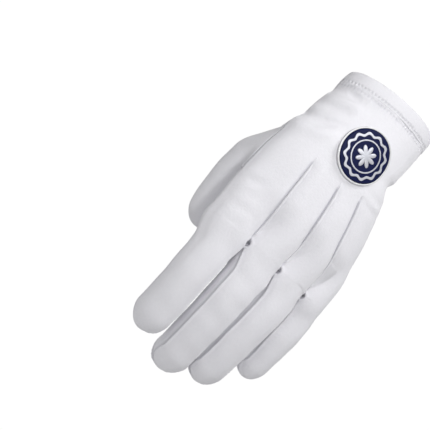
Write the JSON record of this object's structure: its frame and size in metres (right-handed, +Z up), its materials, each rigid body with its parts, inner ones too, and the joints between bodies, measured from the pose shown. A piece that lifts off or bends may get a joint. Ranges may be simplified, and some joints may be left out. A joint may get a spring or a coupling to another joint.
{
  "type": "white parade glove",
  "caption": "White cloth dress glove for the left hand, in its worn form, with raised tucks on the back and a round badge on the cuff.",
  "frame": {"origin": "middle of the wrist opening, where the hand goes in", "axes": "+Z up out of the wrist opening, the fingers point to -Z, the back of the hand faces -Y, the thumb side is -X"},
  "size_m": [0.1118, 0.0679, 0.2153],
  "materials": {
    "cloth": "matt white fine knit",
    "tuck": "matt white sewn fold",
    "badge_rim": "satin silver",
    "badge_field": "navy enamel",
    "badge_line": "pale silver"
  },
  "bodies": {
    "root": {"back_panel": "cloth", "palm_panel": "cloth", "thumb_piece": "cloth", "fourchette_index_middle": "cloth", "fourchette_middle_ring": "cloth", "fourchette_ring_little": "cloth", "point_index": "tuck", "point_middle": "tuck", "point_ring": "tuck", "cuff_hem": "cloth", "badge_rim": "badge_rim", "badge_field": "badge_field", "badge_ring": "badge_line", "badge_border": "badge_line", "badge_motif": "badge_line"}
  },
  "joints": []
}
